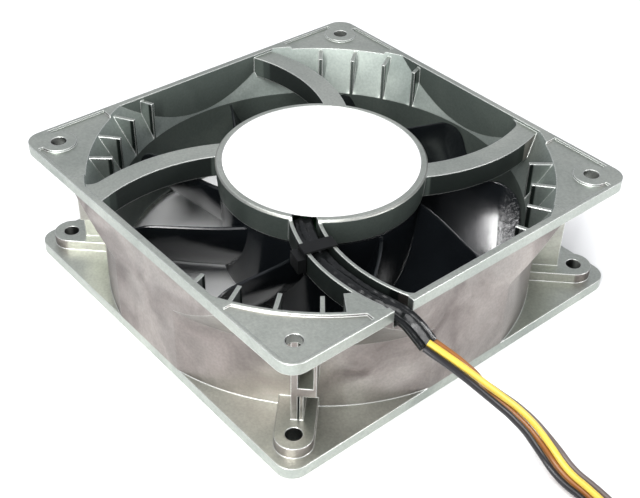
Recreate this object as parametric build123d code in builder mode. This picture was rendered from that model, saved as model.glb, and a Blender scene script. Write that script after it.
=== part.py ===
"""A 120 mm square, 38 mm deep axial cooling fan for a server.

The frame is one die-casting: two square flanges, the round barrel between
them, four curved struts and the shallow cup that holds the motor. A nine
blade impeller turns inside it on a shaft in two ball bearings. Its hub
carries the steel yoke and the ring magnet, and the wound stator sits still
inside them. The lead runs along one strut, which is a channel, leaves
through a notch in the flange, comes down to the surface beside the fan and
ends in a four-way connector.

Millimetres. The origin is at the centre of the intake face, +Z is the fan's
axis and points to the exhaust face, and X and Y are square to the sides.
"""

import math
import os

from build123d import *

os.makedirs("parts", exist_ok=True)

# Driving sizes of the frame
side = 120.0
depth = 38.0
corner_radius = 5.0
flange_thickness = 3.3
hole_inset = 7.5
hole_radius = 2.2
bore_inset = 2.0
barrel_wall = 3.5
side_wall = 1.8

# Exhaust flare in the corners, its ribs, and the rounded intake
flare_widening = 7.0
flare_depth = 13.0
flare_wall = 2.8
rib_thickness = 1.1
rib_drop = 1.0
rib_angles = (-25.0, -15.0, -5.0, 5.0)
intake_round = 4.5

# Relief of the exhaust flange, and what stands between the flanges
recess_depth = 0.6
rim_width = 1.0
relief_reach = 18.5
pad_radius = 5.0
tongue_radius = 5.0
tongue_height = 3.1
fin_setback = 4.8
fin_thickness = 1.7
fin_offset = -0.45
rail_thickness = 1.0
rail_offset = 1.35
pocket_bottom = 14.5
pocket_floor = 2.7
pocket_wall = 0.8
pocket_offset = 4.6

# Struts, the wire channel in one of them, and the notch it leaves by
strut_arc_x = 41.7
strut_arc_y = 20.8
strut_arc_radius = 48.2
strut_width = 6.4
strut_depth = 7.2
strut_drop = 0.8
strut_root_round = 4.0
gusset_inner = 57.4
gusset_angle = 35.0
gusset_spread = 7.0
channel_width = 8.1
channel_wall = 0.9
channel_floor = 2.0
channel_overhang = 1.5
notch_width = 6.2
notch_shift = 1.6

# Motor cup, label and bearing tube
cup_radius = 29.6
cup_draft = 0.6
cup_depth = 8.0
cup_wall = 1.8
cup_top = 1.4
cup_chamfer = 0.5
label_radius = 27.6
label_thickness = 0.2
tube_outer_radius = 7.2
tube_shoulder = 0.6
tube_boss_wall = 1.8
tube_boss_depth = 3.6
tube_length = 23.0
upper_bearing_drop = 3.2
lower_bearing_lip = 0.5

# Impeller
blade_count = 9
hub_radius = 28.4
hub_wall = 2.0
hub_round = 2.5
hub_bottom = 3.0
hub_gap = 0.8
blade_drop = 0.7
hub_overlap = 1.0
tip_clearance = 0.8
blade_bottom = 4.0
blade_tip_round = 7.5
blade_lower_round = 3.75
blade_root_share = 0.8
blade_overreach = 1.0
blade_steps = 5
blade_thickness_root = 2.2
blade_thickness_tip = 1.3
trailing_angle_root = 29.0
trailing_angle_tip = 10.5
blade_wrap_root = 32.6
blade_wrap_tip = 22.1
blade_trailing_tilt = 6.5
trailing_ease = 0.62

# Shaft, bearings and what holds them
shaft_radius = 2.0
bearing_outer_radius = 5.5
bearing_width = 4.0
ring_thickness = 0.9
ball_radius = 1.05
ball_count = 7
clip_thickness = 0.5
clip_radius = 3.6
clip_groove = 0.5
clip_opening = 2.4
shaft_end = 1.2
bushing_radius = 4.4
washer_thickness = 0.4

# Yoke, magnet, stator and its windings
yoke_wall = 1.2
magnet_thickness = 2.7
magnet_height = 16.4
air_gap = 0.6
stator_drop = 5.3
stator_height = 12.0
stator_hub_radius = 11.0
tooth_count = 4
tooth_width = 6.0
shoe_thickness = 2.0
shoe_half_angle = 37.0
insulator_thickness = 1.0
insulator_inset = 0.3
peg_radius = 1.0
peg_inset = 1.2
winding_thickness = 2.6
winding_round = 2.1
winding_length = 6.8
winding_start = 11.8

# Circuit board and its components
board_radius = 26.4
board_hole_radius = 9.6
board_thickness = 1.2
board_drop = 5.3
chip_length = 5.0
chip_width = 4.0
chip_height = 1.6
chip_reach = 17.0
leg_pitch = 1.27
leg_width = 0.45
leg_length = 1.4
leg_height = 0.5
legs_apart = 4.8
transistor_width = 4.0
transistor_length = 5.0
transistor_height = 1.5
transistor_spread = 5.0
transistor_reach = 17.0
capacitor_radius = 2.5
capacitor_height = 3.4
capacitor_base = 5.3
capacitor_base_height = 0.5
capacitor_base_round = 0.6
capacitor_x = 17.0
capacitor_y = 9.0
sensor_height = 2.4
sensor_width = 4.0
sensor_thickness = 1.6

# Sleeve, cable tie, lead and connector
sleeve_width = 5.6
sleeve_height = 3.3
sleeve_start = 17.0
sleeve_turn_inset = 6.0
sleeve_yaw = 4.0
sleeve_straight = 7.0
sleeve_bend_radius = 11.0
sleeve_bend_angle = 32.0
sleeve_tail = 3.0
tie_x = 29.2
tie_width = 4.0
tie_thickness = 0.5
tie_head_width = 4.8
tie_head_height = 4.2
tie_head_thickness = 2.2
lead_diameter = 4.6
connector_width = 5.08
connector_length = 14.0
contact_width = 1.5
contact_length = 6.0
contact_middle = 6.3
pin_pitch = 2.54
window_width = 1.05
window_length = 2.0

# Clearances
seat_gap = 0.05
running_gap = 0.05
loose_gap = 0.15

# Sizes that follow from the ones above
flat_wall = side / 2 - side_wall
hole_pitch = side - 2 * hole_inset
hole_distance = hole_pitch / math.sqrt(2)
bore_radius = side / 2 - bore_inset
barrel_radius = bore_radius + barrel_wall
flare_radius = bore_radius + flare_widening
flare_start = depth - flare_depth
strut_top = depth - strut_drop
strut_bottom = depth - strut_depth
channel_bottom = strut_bottom + channel_floor
cup_bottom = depth - cup_depth
cup_roof = depth - cup_top
cup_inner_radius = cup_radius - cup_draft - cup_wall
notch_y = strut_arc_y - math.sqrt(strut_arc_radius**2 - (side / 2 - strut_arc_x) ** 2) - notch_shift
tip_radius = bore_radius - tip_clearance
hub_top = cup_bottom - hub_gap
blade_top = hub_top - blade_drop
board_bottom = cup_roof - board_drop
stator_bottom = board_bottom - stator_drop - stator_height
sleeve_turn_x = side / 2 - sleeve_turn_inset
tube_inner_radius = bearing_outer_radius + seat_gap
tube_top = cup_roof - seat_gap
tube_bottom = tube_top - tube_length
yoke_outer_radius = hub_radius - hub_wall - seat_gap
yoke_inner_radius = yoke_outer_radius - yoke_wall
yoke_bottom = hub_bottom + hub_wall + seat_gap
magnet_outer_radius = yoke_inner_radius - seat_gap
magnet_inner_radius = magnet_outer_radius - magnet_thickness
stator_radius = magnet_inner_radius - air_gap
upper_bearing_bottom = tube_top - upper_bearing_drop - bearing_width
lower_bearing_bottom = tube_bottom + lower_bearing_lip
ball_orbit = (shaft_radius + bearing_outer_radius) / 2

# The lead's route: out of the sleeve, down to the surface, then away to its coil
lead_route = [
    (68.3, -24.8, 31.2),
    (73.8, -22.3, 28.6),
    (80.6, -16.4, 21.2),
    (87.0, -10.2, 12.6),
    (92.8, -8.2, 5.9),
    (100.0, -8.3, 2.3),
    (108.0, -7.2, 2.3),
    (117.0, -8.5, 2.3),
    (129.0, -15.0, 2.3),
    (141.3, -20.3, 2.3),
]
coil_x = 132.0
coil_y = -46.0
coil_outer_turn = 27.3
coil_turns = 1.15
tail_radius = 15.4
tail_step = 30.0


def save(piece, name):
    """Label a finished sub-part and write it."""
    piece.label = name
    export_step(piece, f"parts/{name}.step")


# The frame's inside up to the middle of its walls, where ribs and struts end
core_margin = 2.0
with BuildPart() as wall_core:
    with BuildSketch(Plane.XZ):
        with BuildLine():
            Polyline(
                (0, flare_start - core_margin),
                (bore_radius + flare_wall / 2, flare_start - core_margin),
                (flare_radius + flare_wall / 2, depth),
                (0, depth),
                close=True,
            )
        make_face()
    revolve(axis=Axis.Z)
    with BuildSketch(Plane.XY):
        Rectangle(side - side_wall, side - side_wall)
    extrude(amount=depth, mode=Mode.INTERSECT)


def strut_plan(width, rounded_sides, gusset=False):
    """A curved strut that runs out to the +X wall.

    Its root is rounded toward +Y, toward -Y or not at all, as rounded_sides
    says with the signs 1 and -1. A gusset may fill the corner toward -Y.
    """
    with BuildPart() as strut:
        with BuildSketch(Plane.XY.offset(strut_bottom)) as plan:
            with Locations((strut_arc_x, strut_arc_y)):
                Circle(strut_arc_radius + width / 2)
                Circle(strut_arc_radius - width / 2, mode=Mode.SUBTRACT)
            near_end = cup_radius / 2
            far_end = side / 2
            with Locations(((near_end + far_end) / 2, strut_arc_y - strut_arc_radius)):
                Rectangle(far_end - near_end, strut_arc_radius, mode=Mode.INTERSECT)
            with Locations(((flat_wall + far_end) / 2, notch_y)):
                Rectangle(far_end - flat_wall, 4 * width)
            for sign in rounded_sides:
                corners = plan.vertices().filter_by(
                    lambda v: abs(v.X - flat_wall) < 0.01 and 0 < sign * (v.Y - notch_y) < 1.5 * width
                )
                fillet(corners, strut_root_round)
            if gusset:
                edge = math.radians(-gusset_angle)
                inside = math.radians(gusset_spread - gusset_angle)
                outside = flare_radius + flare_wall
                with BuildLine():
                    Polyline(
                        (gusset_inner * math.cos(edge), gusset_inner * math.sin(edge)),
                        (outside * math.cos(edge), outside * math.sin(edge)),
                        (side / 2, notch_y),
                        (gusset_inner * math.cos(inside), gusset_inner * math.sin(inside)),
                        close=True,
                    )
                make_face()
            Circle(cup_radius - cup_draft - cup_wall / 2, mode=Mode.SUBTRACT)
        extrude(amount=strut_top - strut_bottom)
        add(wall_core.part, mode=Mode.INTERSECT)
    return strut.part


# Space of the exhaust flare: a cone, cut off by the frame's flat side walls
with BuildPart() as flare_space:
    with BuildSketch(Plane.XZ):
        with BuildLine():
            Polyline(
                (0, flare_start),
                (bore_radius, flare_start),
                (flare_radius, depth),
                (0, depth),
                close=True,
            )
        make_face()
    revolve(axis=Axis.Z)
    with BuildSketch(Plane.XY):
        Rectangle(2 * flat_wall, 2 * flat_wall)
    extrude(amount=depth, mode=Mode.INTERSECT)

# Outside of the flare: the barrel's wall widens with it under the exhaust flange
with BuildPart() as flare_shell:
    with BuildSketch(Plane.XZ):
        with BuildLine():
            Polyline(
                (0, flare_start - core_margin / 2),
                (barrel_radius, flare_start - core_margin / 2),
                (flare_radius + flare_wall, depth - flange_thickness),
                (flare_radius + flare_wall, depth),
                (0, depth),
                close=True,
            )
        make_face()
    revolve(axis=Axis.Z)
    with BuildSketch(Plane.XY):
        Rectangle(side, side)
    extrude(amount=depth, mode=Mode.INTERSECT)

# Space of the intake, rounded like a bell mouth and cut off in the same way
with BuildPart() as intake_space:
    with BuildSketch(Plane.XZ):
        with BuildLine():
            Line((0, 0), (bore_radius + intake_round, 0))
            CenterArc((bore_radius + intake_round, intake_round), intake_round, 270, -90)
            Line((bore_radius, intake_round), (0, intake_round))
            Line((0, intake_round), (0, 0))
        make_face()
    revolve(axis=Axis.Z)
    with BuildSketch(Plane.XY):
        Rectangle(2 * flat_wall, 2 * flat_wall)
    extrude(amount=depth, mode=Mode.INTERSECT)

# Thin ribs that stand in the flare at each corner
with BuildPart() as flare_ribs:
    rib_inner = bore_radius
    rib_outer = flare_radius + flare_wall
    with BuildSketch(Plane.XY.offset(flare_start - core_margin / 2)):
        for corner in range(4):
            for angle in rib_angles:
                with PolarLocations((rib_inner + rib_outer) / 2, 1, 45 + 90 * corner + angle):
                    Rectangle(rib_outer - rib_inner, rib_thickness)
    extrude(amount=flare_depth + core_margin / 2 - rib_drop)
    add(wall_core.part, mode=Mode.INTERSECT)

channel_strut = strut_plan(channel_width, (1,), gusset=True)
plain_struts = (
    (90, strut_plan(strut_width, (1,))),
    (180, strut_plan(strut_width, ())),
    (270, strut_plan(strut_width, (-1,))),
)

# Space inside the wire channel, through the cup's wall and the notch in the flange
with BuildPart() as channel_space:
    with BuildSketch(Plane.XY.offset(channel_bottom)) as channel_plan:
        pocket = channel_width / 2 - channel_wall
        with Locations((strut_arc_x, strut_arc_y)):
            Circle(strut_arc_radius + pocket)
            Circle(strut_arc_radius - pocket, mode=Mode.SUBTRACT)
        channel_start = cup_radius / 2
        with Locations(((channel_start + flat_wall) / 2, strut_arc_y - strut_arc_radius)):
            Rectangle(flat_wall - channel_start, strut_arc_radius, mode=Mode.INTERSECT)
        with Locations((flat_wall, notch_y)):
            Rectangle(3 * side_wall, notch_width)
    extrude(amount=cup_roof - channel_bottom)
    # The label's edge overhangs the part that is open at the top
    with BuildSketch(Plane.XY.offset(cup_roof)):
        add(channel_plan.sketch.moved(Location((0, 0, -channel_bottom))))
        Circle(label_radius - channel_overhang, mode=Mode.SUBTRACT)
    extrude(amount=cup_top)

# A rim along the flare's edge borders the relief of one corner
with BuildSketch(Plane.XY) as arc_rim:
    Circle(flare_radius + rim_width)
    with Locations((side / 4, -side / 4)):
        Rectangle(side / 2, side / 2, mode=Mode.INTERSECT)

# Relief of the exhaust flange in its corners, with a pad round three of the holes
with BuildPart() as flange_relief:
    with BuildSketch(Plane.XY.offset(depth - recess_depth)):
        RectangleRounded(side - 2 * rim_width, side - 2 * rim_width, corner_radius - rim_width)
        relief_start = hole_pitch / 2 - relief_reach
        Rectangle(side, 2 * relief_start, mode=Mode.SUBTRACT)
        Rectangle(2 * relief_start, side, mode=Mode.SUBTRACT)
        add(arc_rim.sketch, mode=Mode.SUBTRACT)
        half = hole_pitch / 2
        for x, y in ((half, half), (-half, half), (-half, -half)):
            with Locations((x, y)):
                Circle(pad_radius, mode=Mode.SUBTRACT)
            with Locations((x + math.copysign(pad_radius, x), y + math.copysign(pad_radius, y))):
                Rectangle(2 * pad_radius, 2 * pad_radius, mode=Mode.SUBTRACT)
    extrude(amount=recess_depth)

with BuildPart() as housing:
    for level in (0, depth - flange_thickness):
        with BuildSketch(Plane.XY.offset(level)):
            RectangleRounded(side, side, corner_radius)
        extrude(amount=flange_thickness)
    with BuildSketch(Plane.XY):
        Circle(barrel_radius)
        Rectangle(side, side, mode=Mode.INTERSECT)
    extrude(amount=depth)
    add(flare_shell.part)
    # A tongue runs from the barrel to each hole of the intake flange
    tongue_inner = barrel_radius - barrel_wall / 2
    with BuildSketch(Plane.XY.offset(flange_thickness)):
        for corner in range(4):
            with PolarLocations(hole_distance, 1, 45 + 90 * corner):
                Circle(tongue_radius)
            with PolarLocations((tongue_inner + hole_distance) / 2, 1, 45 + 90 * corner):
                Rectangle(hole_distance - tongue_inner, 2 * tongue_radius)
    extrude(amount=tongue_height)
    # A fin on each tongue reaches the exhaust flange, with a rail beside its foot and a pocket above that
    fin_outer = hole_distance - fin_setback
    fin_middle = (tongue_inner + fin_outer) / 2
    fin_length = fin_outer - tongue_inner
    pocket_side = pocket_offset - fin_offset
    for bottom, top, offset, thickness in (
        (flange_thickness, depth - flange_thickness, fin_offset, fin_thickness),
        (flange_thickness, pocket_bottom, rail_offset, rail_thickness),
        (pocket_bottom, depth - flange_thickness, pocket_offset, pocket_wall),
        (pocket_bottom, pocket_bottom + pocket_floor, fin_offset + pocket_side / 2, pocket_side),
    ):
        with BuildSketch(Plane.XY.offset(bottom)):
            for corner in range(4):
                with PolarLocations(fin_middle, 1, 45 + 90 * corner):
                    with Locations((0, offset)):
                        Rectangle(fin_length, thickness)
        extrude(amount=top - bottom)
    with BuildSketch(Plane.XY):
        Circle(bore_radius)
    extrude(amount=depth, mode=Mode.SUBTRACT)
    add(flare_space.part, mode=Mode.SUBTRACT)
    add(intake_space.part, mode=Mode.SUBTRACT)
    add(flare_ribs.part)
    add(flange_relief.part, mode=Mode.SUBTRACT)
    # Motor cup, open toward the impeller
    with BuildSketch(Plane.XZ):
        with BuildLine():
            Polyline(
                (0, depth),
                (cup_radius - cup_chamfer, depth),
                (cup_radius, depth - cup_chamfer),
                (cup_radius - cup_draft, cup_bottom),
                (cup_inner_radius, cup_bottom),
                (cup_inner_radius, cup_roof),
                (tube_outer_radius + tube_boss_wall, cup_roof),
                (tube_outer_radius + tube_boss_wall, cup_roof - tube_boss_depth),
                (tube_outer_radius + seat_gap, cup_roof - tube_boss_depth),
                (tube_outer_radius + seat_gap, cup_roof),
                (0, cup_roof),
                close=True,
            )
        make_face()
    revolve(axis=Axis.Z)
    for turn, strut in plain_struts:
        add(strut.rotate(Axis.Z, turn))
    add(channel_strut)
    add(channel_space.part, mode=Mode.SUBTRACT)
    # Shallow seat of the label
    with BuildSketch(Plane.XY.offset(depth - label_thickness)):
        Circle(label_radius + loose_gap)
    extrude(amount=label_thickness, mode=Mode.SUBTRACT)
    # Mounting holes through both flanges
    with BuildSketch(Plane.XY):
        with GridLocations(hole_pitch, hole_pitch, 2, 2):
            Circle(hole_radius)
    extrude(amount=depth, mode=Mode.SUBTRACT)
save(housing.part, "housing")

with BuildPart() as label:
    with BuildSketch(Plane.XY.offset(depth - label_thickness)):
        Circle(label_radius)
    extrude(amount=label_thickness)
save(label.part, "label")

# Bearing tube with a shoulder between the two bearings
with BuildPart() as bearing_tube:
    with BuildSketch(Plane.XZ):
        with BuildLine():
            Polyline(
                (tube_inner_radius, tube_bottom),
                (tube_outer_radius, tube_bottom),
                (tube_outer_radius, tube_top),
                (tube_inner_radius, tube_top),
                (tube_inner_radius, upper_bearing_bottom - seat_gap),
                (tube_inner_radius - tube_shoulder, upper_bearing_bottom - seat_gap),
                (tube_inner_radius - tube_shoulder, lower_bearing_bottom + bearing_width + seat_gap),
                (tube_inner_radius, lower_bearing_bottom + bearing_width + seat_gap),
                close=True,
            )
        make_face()
    revolve(axis=Axis.Z)
save(bearing_tube.part, "bearing_tube")


def bearing(place, bottom):
    """A deep groove ball bearing: outer ring, inner ring and a set of balls."""
    middle = bottom + bearing_width / 2
    rings = (
        ("outer_ring", bearing_outer_radius - ring_thickness, bearing_outer_radius),
        ("inner_ring", shaft_radius + running_gap / 5, shaft_radius + ring_thickness),
    )
    for ring_name, inside, outside in rings:
        with BuildPart() as ring:
            with BuildSketch(Plane.XZ):
                with Locations(((inside + outside) / 2, middle)):
                    Rectangle(outside - inside, bearing_width)
                with Locations((ball_orbit, middle)):
                    Circle(ball_radius + running_gap, mode=Mode.SUBTRACT)
            revolve(axis=Axis.Z)
        save(ring.part, f"{place}_bearing_{ring_name}")
    with BuildPart() as balls:
        with BuildSketch(Plane.XZ):
            with BuildLine():
                CenterArc((ball_orbit, middle), ball_radius, -90, 180)
                Line((ball_orbit, middle + ball_radius), (ball_orbit, middle - ball_radius))
            make_face()
        revolve(axis=Axis((ball_orbit, 0, 0), (0, 0, 1)))
    one_ball = balls.part
    with BuildPart() as ball_set:
        for index in range(ball_count):
            add(one_ball.rotate(Axis.Z, index * 360 / ball_count))
    save(ball_set.part, f"{place}_bearing_balls")


bearing("upper", upper_bearing_bottom)
bearing("lower", lower_bearing_bottom)

# Shaft, with a groove for the clip above the upper bearing
shaft_bottom = yoke_bottom + seat_gap
clip_bottom = upper_bearing_bottom + bearing_width + seat_gap
shaft_top = clip_bottom + clip_thickness + shaft_end
with BuildPart() as shaft:
    with BuildSketch(Plane.XY.offset(shaft_bottom)):
        Circle(shaft_radius)
    extrude(amount=shaft_top - shaft_bottom)
    with BuildSketch(Plane.XY.offset(clip_bottom)):
        Circle(clip_radius)
        Circle(shaft_radius - clip_groove, mode=Mode.SUBTRACT)
    extrude(amount=clip_thickness + seat_gap, mode=Mode.SUBTRACT)
    chamfer(shaft.faces().sort_by(Axis.Z)[-1].edges(), clip_groove / 2)
save(shaft.part, "shaft")

with BuildPart() as retaining_clip:
    with BuildSketch(Plane.XY.offset(clip_bottom + seat_gap / 2)):
        Circle(clip_radius)
        Circle(shaft_radius - clip_groove + seat_gap, mode=Mode.SUBTRACT)
        with Locations((clip_radius, 0)):
            Rectangle(2 * clip_radius, clip_opening, mode=Mode.SUBTRACT)
    extrude(amount=clip_thickness)
save(retaining_clip.part, "retaining_clip")

# Brass bushing that carries the shaft in the yoke's floor
bushing_top = lower_bearing_bottom - washer_thickness - 2 * seat_gap
with BuildPart() as shaft_bushing:
    with BuildSketch(Plane.XY.offset(yoke_bottom)):
        Circle(bushing_radius)
        Circle(shaft_radius + seat_gap / 5, mode=Mode.SUBTRACT)
    extrude(amount=bushing_top - yoke_bottom)
save(shaft_bushing.part, "shaft_bushing")

# Spring washer that presses the lower bearing's inner ring upward
with BuildPart() as preload_washer:
    with BuildSketch(Plane.XY.offset(bushing_top + seat_gap)):
        Circle(shaft_radius + ring_thickness)
        Circle(shaft_radius + 2 * seat_gap, mode=Mode.SUBTRACT)
    extrude(amount=washer_thickness)
save(preload_washer.part, "preload_washer")

with BuildPart() as rotor_yoke:
    with BuildSketch(Plane.XZ):
        with BuildLine():
            Polyline(
                (bushing_radius + seat_gap, yoke_bottom),
                (yoke_outer_radius, yoke_bottom),
                (yoke_outer_radius, hub_top - hub_gap),
                (yoke_inner_radius, hub_top - hub_gap),
                (yoke_inner_radius, yoke_bottom + yoke_wall),
                (bushing_radius + seat_gap, yoke_bottom + yoke_wall),
                close=True,
            )
        make_face()
    revolve(axis=Axis.Z)
save(rotor_yoke.part, "rotor_yoke")

magnet_bottom = stator_bottom + stator_height / 2 - magnet_height / 2
with BuildPart() as ring_magnet:
    with BuildSketch(Plane.XY.offset(magnet_bottom)):
        Circle(magnet_outer_radius)
        Circle(magnet_inner_radius, mode=Mode.SUBTRACT)
    extrude(amount=magnet_height)
save(ring_magnet.part, "ring_magnet")


def blade_section(reach):
    """A blade's section on the plane square to X at this reach, as a face.

    The chord runs from the trailing edge at the top to the leading edge at the
    bottom, and both faces are arcs. The angles fall off along a quadratic
    curve, quickly near the hub and slowly near the tip.
    """
    share = (reach - hub_radius) / (tip_radius - hub_radius)
    eased = share * (1 + trailing_ease - trailing_ease * share)
    trailing = trailing_angle_root + (trailing_angle_tip - trailing_angle_root) * eased
    wrap = blade_wrap_root + (blade_wrap_tip - blade_wrap_root) * share
    thickness = blade_thickness_root + (blade_thickness_tip - blade_thickness_root) * share
    top_y = reach * math.tan(math.radians(trailing))
    bottom_y = reach * math.tan(math.radians(trailing - wrap))
    run = top_y - bottom_y
    rise = blade_top - blade_bottom
    stagger = math.degrees(math.atan2(run, rise))
    chord = math.hypot(run, rise)
    sag = chord / 2 * math.tan(math.radians((stagger - blade_trailing_tilt) / 2))
    middle_y = (top_y + bottom_y) / 2
    middle_z = (blade_top + blade_bottom) / 2
    # Unit vector across the chord, on the hollow side
    across_y = rise / chord
    across_z = -run / chord
    edge = thickness / 4

    def corner(y, z, side_sign):
        return (y + side_sign * edge * across_y, z + side_sign * edge * across_z)

    def crown(side_sign):
        offset = sag + side_sign * thickness / 2
        return (middle_y + offset * across_y, middle_z + offset * across_z)

    plane = Plane(origin=(reach, 0, 0), x_dir=(0, 1, 0), z_dir=(1, 0, 0))
    with BuildSketch(plane) as section:
        with BuildLine():
            ThreePointArc(corner(top_y, blade_top, 1), crown(1), corner(bottom_y, blade_bottom, 1))
            Line(corner(bottom_y, blade_bottom, 1), corner(bottom_y, blade_bottom, -1))
            ThreePointArc(corner(bottom_y, blade_bottom, -1), crown(-1), corner(top_y, blade_top, -1))
            Line(corner(top_y, blade_top, -1), corner(top_y, blade_top, 1))
        make_face()
    return section.sketch


# The ring that the blades fill, with its outer corners rounded
with BuildPart() as blade_envelope:
    with BuildSketch(Plane.XZ) as half_envelope:
        with Locations(((hub_radius - hub_overlap + tip_radius) / 2, (blade_bottom + blade_top) / 2)):
            Rectangle(tip_radius - hub_radius + hub_overlap, blade_top - blade_bottom)
        fillet(half_envelope.vertices().group_by(Axis.X)[-1].sort_by(Axis.Y)[-1], blade_tip_round)
        fillet(half_envelope.vertices().group_by(Axis.Y)[0].sort_by(Axis.X)[-1], blade_lower_round)
    revolve(axis=Axis.Z)

blade_start = hub_radius * blade_root_share
blade_end = tip_radius + blade_overreach
with BuildPart() as blade:
    reaches = [blade_start + (blade_end - blade_start) * k / (blade_steps - 1) for k in range(blade_steps)]
    loft([blade_section(reach).face() for reach in reaches])
    add(blade_envelope.part, mode=Mode.INTERSECT)

with BuildPart() as impeller:
    with BuildSketch(Plane.XZ) as hub_profile:
        with BuildLine():
            Polyline(
                (0, hub_bottom),
                (hub_radius, hub_bottom),
                (hub_radius, hub_top),
                (hub_radius - hub_wall, hub_top),
                (hub_radius - hub_wall, hub_bottom + hub_wall),
                (0, hub_bottom + hub_wall),
                close=True,
            )
        make_face()
        rim = hub_profile.vertices().group_by(Axis.Y)[0].sort_by(Axis.X)
        fillet(rim[-1], hub_round)
    revolve(axis=Axis.Z)
    for index in range(blade_count):
        add(blade.part.rotate(Axis.Z, index * 360 / blade_count))
save(impeller.part, "impeller")


def stator_outline(inset):
    """The laminations' outline, a hub with teeth and curved pole shoes, with the shoes thinned by inset."""
    with BuildSketch() as outline:
        Circle(stator_hub_radius)
        with PolarLocations((tube_outer_radius + stator_radius) / 2, tooth_count):
            Rectangle(stator_radius - tube_outer_radius - shoe_thickness / 2, tooth_width)
        with BuildSketch(mode=Mode.PRIVATE) as shoes:
            Circle(stator_radius - inset)
            Circle(stator_radius - shoe_thickness + inset, mode=Mode.SUBTRACT)
            for index in range(tooth_count):
                middle = 360 / tooth_count * (index + 0.5)
                half_slot = 180 / tooth_count - shoe_half_angle
                with PolarLocations(stator_radius, 1, middle):
                    Rectangle(
                        3 * shoe_thickness,
                        2 * stator_radius * math.tan(math.radians(half_slot)),
                        mode=Mode.SUBTRACT,
                    )
        add(shoes.sketch)
        Circle(tube_outer_radius + seat_gap, mode=Mode.SUBTRACT)
    return outline.sketch


stator_top = stator_bottom + stator_height
laminations = stator_outline(0)
with BuildPart() as stator_core:
    with BuildSketch(Plane.XY.offset(stator_bottom)):
        add(laminations)
    extrude(amount=stator_height)
save(stator_core.part, "stator_core")

cover = stator_outline(insulator_inset)
for name, start, pegs in (
    ("upper_insulator", stator_top, True),
    ("lower_insulator", stator_bottom - insulator_thickness, False),
):
    with BuildPart() as insulator:
        with BuildSketch(Plane.XY.offset(start)):
            add(cover)
        extrude(amount=insulator_thickness)
        if pegs:
            # Pegs between the windings carry the circuit board
            with BuildSketch(Plane.XY.offset(start)):
                with PolarLocations(stator_hub_radius - peg_inset, tooth_count, 180 / tooth_count):
                    Circle(peg_radius)
            extrude(amount=board_bottom - start)
    save(insulator.part, name)

# One coil of wire round each tooth
with BuildPart() as winding:
    tooth_height = stator_height + 2 * insulator_thickness
    plane = Plane(
        origin=(winding_start, 0, stator_bottom + stator_height / 2),
        x_dir=(0, 1, 0),
        z_dir=(1, 0, 0),
    )
    with BuildSketch(plane):
        RectangleRounded(
            tooth_width + 2 * winding_thickness,
            tooth_height + 2 * winding_thickness,
            winding_round,
        )
        Rectangle(tooth_width + 2 * seat_gap, tooth_height + 2 * seat_gap, mode=Mode.SUBTRACT)
    extrude(amount=winding_length)
with BuildPart() as stator_windings:
    for index in range(tooth_count):
        add(winding.part.rotate(Axis.Z, index * 360 / tooth_count))
save(stator_windings.part, "stator_windings")

with BuildPart() as circuit_board:
    with BuildSketch(Plane.XY.offset(board_bottom)):
        Circle(board_radius)
        Circle(board_hole_radius, mode=Mode.SUBTRACT)
    extrude(amount=board_thickness)
save(circuit_board.part, "circuit_board")

board_top = board_bottom + board_thickness
with BuildPart() as driver_chip:
    with BuildSketch(Plane.XY.offset(board_top)):
        with Locations((0, chip_reach)):
            Rectangle(chip_length, chip_width)
    extrude(amount=chip_height)
    with BuildSketch(Plane.XY.offset(board_top)):
        with Locations((0, chip_reach)):
            with GridLocations(leg_pitch, legs_apart, 4, 2):
                Rectangle(leg_width, leg_length)
    extrude(amount=leg_height)
save(driver_chip.part, "driver_chip")

with BuildPart() as switching_transistors:
    with BuildSketch(Plane.XY.offset(board_top)):
        with Locations((-transistor_reach, transistor_spread), (-transistor_reach, -transistor_spread)):
            Rectangle(transistor_width, transistor_length)
    extrude(amount=transistor_height)
save(switching_transistors.part, "switching_transistors")

with BuildPart() as filter_capacitor:
    with BuildSketch(Plane.XY.offset(board_top)):
        with Locations((capacitor_x, capacitor_y)):
            RectangleRounded(capacitor_base, capacitor_base, capacitor_base_round)
    extrude(amount=capacitor_base_height)
    with BuildSketch(Plane.XY.offset(board_top + capacitor_base_height)):
        with Locations((capacitor_x, capacitor_y)):
            Circle(capacitor_radius)
    extrude(amount=capacitor_height - capacitor_base_height)
save(filter_capacitor.part, "filter_capacitor")

with BuildPart() as hall_sensor:
    with BuildSketch(Plane.XY.offset(board_bottom - sensor_height)):
        with PolarLocations(magnet_inner_radius + magnet_thickness / 3, 1, 180 / tooth_count):
            Rectangle(sensor_thickness, sensor_width)
    extrude(amount=sensor_height)
save(hall_sensor.part, "hall_sensor")

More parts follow.
